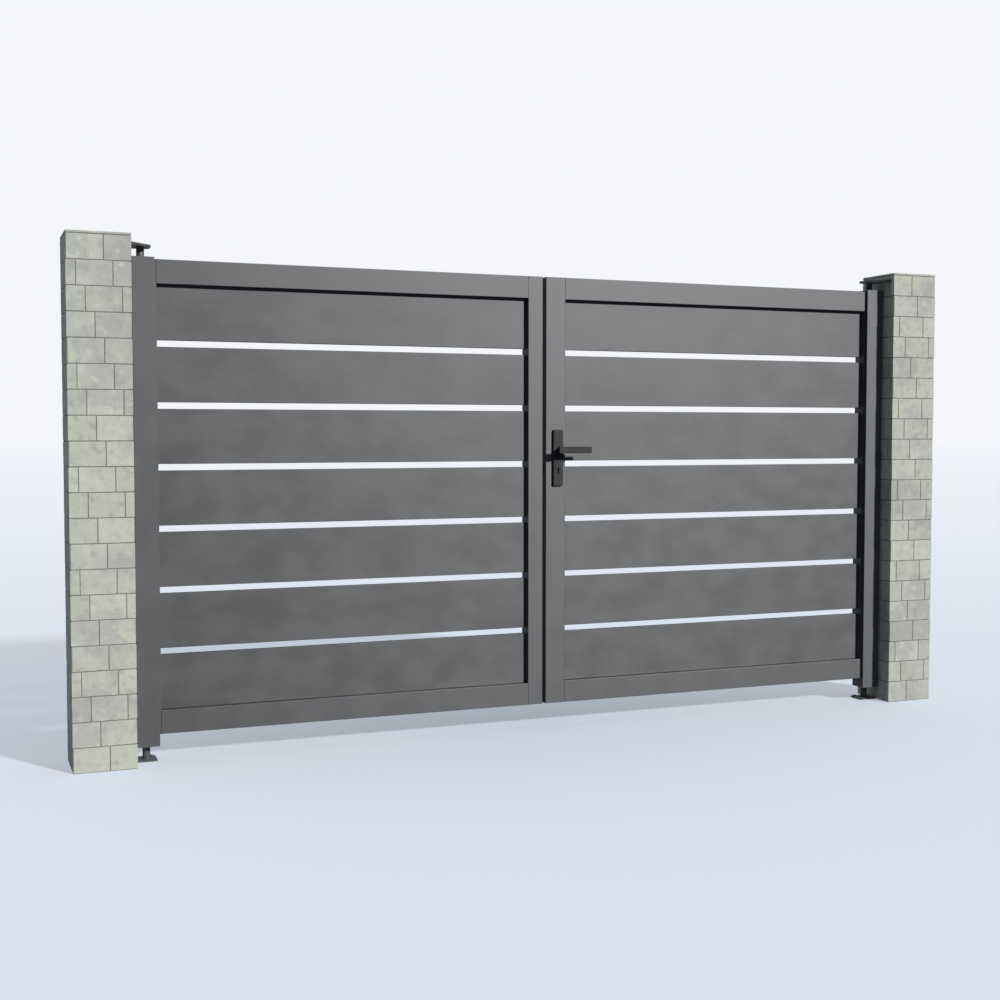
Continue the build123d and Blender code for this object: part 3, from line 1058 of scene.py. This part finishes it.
    def _head(self, radius: float, facing: Point, finish: bpy.types.Material) -> dict[str, Any]:
        """Inputs of a screw head."""
        return {"Radius": radius, "Height": self.head_height, "Facing": facing, "Material": finish}


@dataclass
class Solids:
    """The solids that stay, and the finish of each."""

    textures: Textures
    finishes: Finishes

    def dress(self, frame: dict[str, Any]) -> dict[Slot, bpy.types.Material]:
        """Give every solid that stays its finish.

        Args:
            frame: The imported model.

        Returns:
            The metal finishes.
        """
        coats = {
            Slot.PLANK: self.finishes.plank,
            Slot.FRAME: self.finishes.frame,
            Slot.HARDWARE: self.finishes.hardware,
            Slot.HANDLE: self.finishes.handle,
            Slot.LOCK: self.finishes.lock,
        }
        made = {slot: coat.material(self.textures) for slot, coat in coats.items()}
        for name, solid in frame["nodes"].items():
            finish = self.finish_of(name)
            if finish is Slot.STONE:
                continue
            for place in solid.material_slots:
                place.material = made[finish]
            log.info("%s: %s", name, made[finish].name)
        return made

    @staticmethod
    def finish_of(name: str) -> Slot:
        """Choose a solid's finish by its name.

        Args:
            name: The solid's name.

        Returns:
            The finish. The solids of stone are replaced and stay bare.
        """
        if name.endswith("_pillar"):
            return Slot.STONE
        if "plank" in name:
            return Slot.PLANK
        if name.endswith(("_stile", "_rail")):
            return Slot.FRAME
        if name.endswith(("_bracket", "_pin", "ground_plate")):
            return Slot.HARDWARE
        if name in ("lock_case", "strike_plate", "spindle"):
            return Slot.LOCK
        return Slot.HANDLE


@dataclass
class Studio:
    """Floor, light and camera."""

    camera_place: Point = (-0.4736, -4.7586, 1.1168)
    camera_yaw: float = 21.92
    camera_drop: float = 2.81
    lens: float = 49.66
    sensor: float = 36.0
    sun_plan: float = 30.0
    sun_height: float = 25.8
    sun_strength: float = 3.2
    sun_spread: float = 4.0
    floor_radius: float = 120.0
    fade_start: float = 2.0
    fade_length: float = 6.0
    middle: Point = (1.6, 0.0, 0.0)
    floor_colour: Colour = (0.64, 0.705, 0.79)
    floor_bounce: Colour = (0.22, 0.235, 0.26)
    backdrop: Colour = (0.905, 0.92, 0.955)
    room: Colour = (0.012, 0.013, 0.015)
    glow: Colour = (0.3, 0.31, 0.33)
    sky_low: Colour = (0.034, 0.045, 0.062)
    sky_back: Colour = (0.5, 0.53, 0.57)
    sky_high: Colour = (1.1, 1.25, 1.55)
    sky_power: float = 4.0
    behind_range: Range = (0.0, 0.6)
    fill_range: Range = (0.1, 0.5)
    sun_distance: float = 9.0
    floor_sides: int = 96
    floor_roughness: float = 0.9

    def build(self) -> None:
        """Set up the whole studio."""
        self._floor()
        self._sun()
        self._world()
        self._camera()
        bpy.context.scene.view_settings.view_transform = "Standard"

    def _floor(self) -> None:
        """A pale round floor that fades into the background far away."""
        shape = bmesh.new()
        bmesh.ops.create_circle(shape, cap_ends=True, segments=self.floor_sides, radius=self.floor_radius)
        mesh = bpy.data.meshes.new("floor")
        shape.to_mesh(mesh)
        shape.free()
        made, g, shader = start_material("pale_floor")
        seen = g.node("ShaderNodeLightPath").outputs["Is Camera Ray"]
        colour = g.mix(seen, rgba(self.floor_bounce), rgba(self.floor_colour))
        g.feed(shader.inputs["Base Color"], colour)
        shader.inputs["Roughness"].default_value = self.floor_roughness
        shader.inputs["Specular IOR Level"].default_value = 0.0
        place = g.node("ShaderNodeTexCoord").outputs["Object"]
        offset = g.node("ShaderNodeVectorMath", {0: place, 1: self.middle}, operation="DISTANCE").outputs["Value"]
        faded = g.math("ADD", offset, self.fade_start)
        share = g.math("DIVIDE", faded, g.math("ADD", faded, self.fade_length))
        clear = g.node("ShaderNodeBsdfTransparent").outputs[0]
        blend = g.node("ShaderNodeMixShader", {0: share, 1: shader.outputs[0], 2: clear}).outputs[0]
        output = next(n for n in g.tree.nodes if n.type == "OUTPUT_MATERIAL")
        g.feed(output.inputs["Surface"], blend)
        mesh.materials.append(made)
        mesh_object("floor", mesh)

    @staticmethod
    def _towards(plan: float, height: float) -> Vector:
        """Direction to a light, by degrees to the right of the street side and above the floor."""
        turn, rise = math.radians(plan), math.radians(height)
        return Vector((math.sin(turn) * math.cos(rise), -math.cos(turn) * math.cos(rise), math.sin(rise)))

    def _sun(self) -> None:
        """The key light, at the front right."""
        lamp = bpy.data.lights.new("key", "SUN")
        lamp.energy = self.sun_strength
        lamp.angle = math.radians(self.sun_spread)
        towards = self._towards(self.sun_plan, self.sun_height)
        made = bpy.data.objects.new(lamp.name, lamp)
        made.location = Vector(self.middle) + towards * self.sun_distance
        made.rotation_euler = (-towards).to_track_quat("-Z", "Y").to_euler()
        bpy.context.scene.collection.objects.link(made)

    def _world(self) -> None:
        """A soft sky, a low fill from behind, a plain pale background and a dim room for reflections."""
        world = bpy.data.worlds.new("studio")
        bpy.context.scene.world = world
        world.use_nodes = True
        world.node_tree.nodes.clear()
        g = Graph(world.node_tree)
        way = g.node("ShaderNodeSeparateXYZ", {0: g.node("ShaderNodeTexCoord").outputs["Generated"]}).outputs
        rise = g.math("POWER", g.math("MAXIMUM", way["Z"], 0.0), self.sky_power)
        behind = g.span(way["Y"], *self.behind_range, 0.0, 1.0)
        fill = g.math("MULTIPLY", behind, g.span(way["Z"], *self.fill_range, 1.0, 0.0))
        level = g.mix(fill, rgba(self.sky_low), rgba(self.sky_back))
        sky = g.node("ShaderNodeBackground", {0: g.mix(rise, level, rgba(self.sky_high))}).outputs[0]
        path = g.node("ShaderNodeLightPath").outputs
        around = g.mix(behind, rgba(self.room), rgba(self.glow))
        pale = g.mix(path["Is Camera Ray"], around, rgba(self.backdrop))
        shown = g.node("ShaderNodeBackground", {0: pale}).outputs[0]
        seen = g.math("MAXIMUM", path["Is Camera Ray"], path["Is Glossy Ray"])
        seen = g.math("MAXIMUM", seen, path["Is Transmission Ray"])
        blend = g.node("ShaderNodeMixShader", {0: seen, 1: sky, 2: shown}).outputs[0]
        g.node("ShaderNodeOutputWorld", {"Surface": blend})

    def _camera(self) -> None:
        """A camera at the photograph's angle."""
        data = bpy.data.cameras.new("camera")
        data.lens = self.lens
        data.sensor_width = self.sensor
        made = bpy.data.objects.new("camera", data)
        made.location = self.camera_place
        made.rotation_euler = (math.radians(90.0 - self.camera_drop), 0.0, math.radians(-self.camera_yaw))
        bpy.context.scene.collection.objects.link(made)
        bpy.context.scene.camera = made


def main() -> None:
    """Load the frame, dress it and set up the studio."""
    logging.basicConfig(level=logging.INFO, format="%(name)s %(message)s")
    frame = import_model()
    textures, finishes = Textures(), Finishes()
    metals = Solids(textures, finishes).dress(frame)
    stones = stone_tree()
    stone, mortar = finishes.stone.material(textures), finishes.mortar.material(textures)
    Pillar("left_pillar", first_joint=0.0, seed=3).build(stones, stone, mortar)
    Pillar("right_pillar", first_joint=0.75, seed=8).build(stones, stone, mortar)
    Fixings().build(metals[Slot.LOCK], metals[Slot.HANDLE], metals[Slot.HARDWARE])
    Studio().build()


if __name__ == "__main__":
    main()
